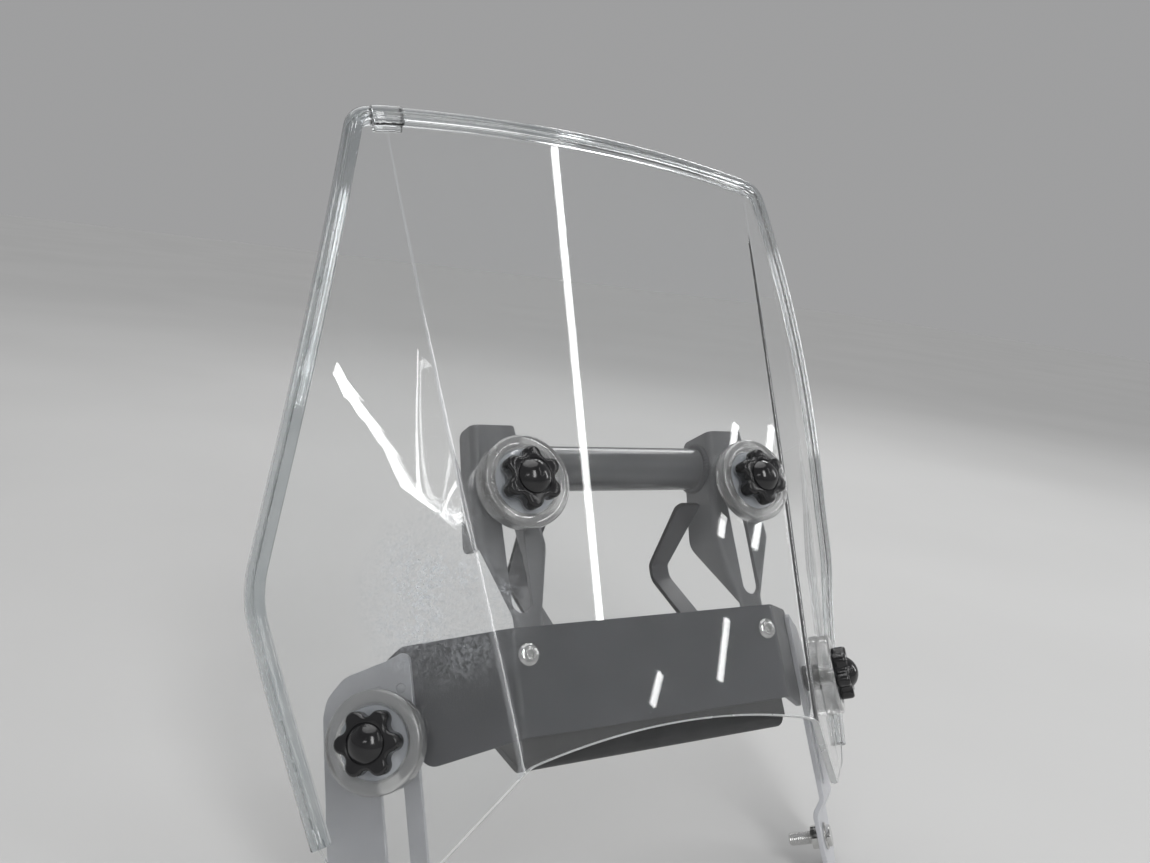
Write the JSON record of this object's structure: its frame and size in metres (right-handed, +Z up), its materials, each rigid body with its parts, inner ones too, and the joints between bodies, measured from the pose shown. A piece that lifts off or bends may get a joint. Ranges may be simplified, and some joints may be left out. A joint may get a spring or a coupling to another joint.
{
  "type": "motorcycle windscreen assembly",
  "caption": "Height-adjustable clear windscreen with clear edge trim and star knobs, clamped through slots to a raked steel stay with a crossbar and a mounting rail.",
  "frame": {"origin": "middle of the line through the two rail bolt holes, on the underside of the rail's level foot", "axes": "+X to the rider's left, +Y to the back of the vehicle, +Z up; the screen leans back by 31 degrees and slides along (0, 0.515, 0.857)"},
  "size_m": [0.4082, 0.1967, 0.4367],
  "materials": {
    "screen": "clear, polished",
    "trim": "clear, soft gloss",
    "sleeve": "clear, glossy",
    "washer": "milky, satin",
    "knob": "glossy",
    "spacer": "matte",
    "bolt": "zinc plated",
    "stay": "satin",
    "side_plate": "satin",
    "rail": "satin",
    "fastener": "polished"
  },
  "bodies": {
    "stay": {"centre_plate": "stay", "crossbar": "stay", "mounting_rail": "rail", "upright_left": "stay", "upright_right": "stay", "brace_left": "stay", "brace_right": "stay", "side_plate_left": "side_plate", "side_plate_right": "side_plate", "plate_screw_left": "fastener", "plate_screw_right": "fastener", "side_bolt_left": "fastener", "side_bolt_right": "fastener", "lap_rivets_left": "fastener", "lap_rivets_right": "fastener"},
    "screen": {"screen_panel": "screen", "edge_trim_main": "trim", "edge_trim_short": "trim", "trim_sleeve": "sleeve", "washer_upper_left": "washer", "knob_upper_left": "knob", "spacer_upper_left": "spacer", "slide_bolt_upper_left": "bolt", "washer_lower_left": "washer", "knob_lower_left": "knob", "spacer_lower_left": "spacer", "slide_bolt_lower_left": "bolt", "washer_upper_right": "washer", "knob_upper_right": "knob", "spacer_upper_right": "spacer", "slide_bolt_upper_right": "bolt", "washer_lower_right": "washer", "knob_lower_right": "knob", "spacer_lower_right": "spacer", "slide_bolt_lower_right": "bolt"}
  },
  "joints": [
    {"name": "screen_slide", "type": "slide", "parent": "stay", "child": "screen", "axis": [0, 0.515, 0.8572], "range_m": [-0.058, 0]}
  ]
}
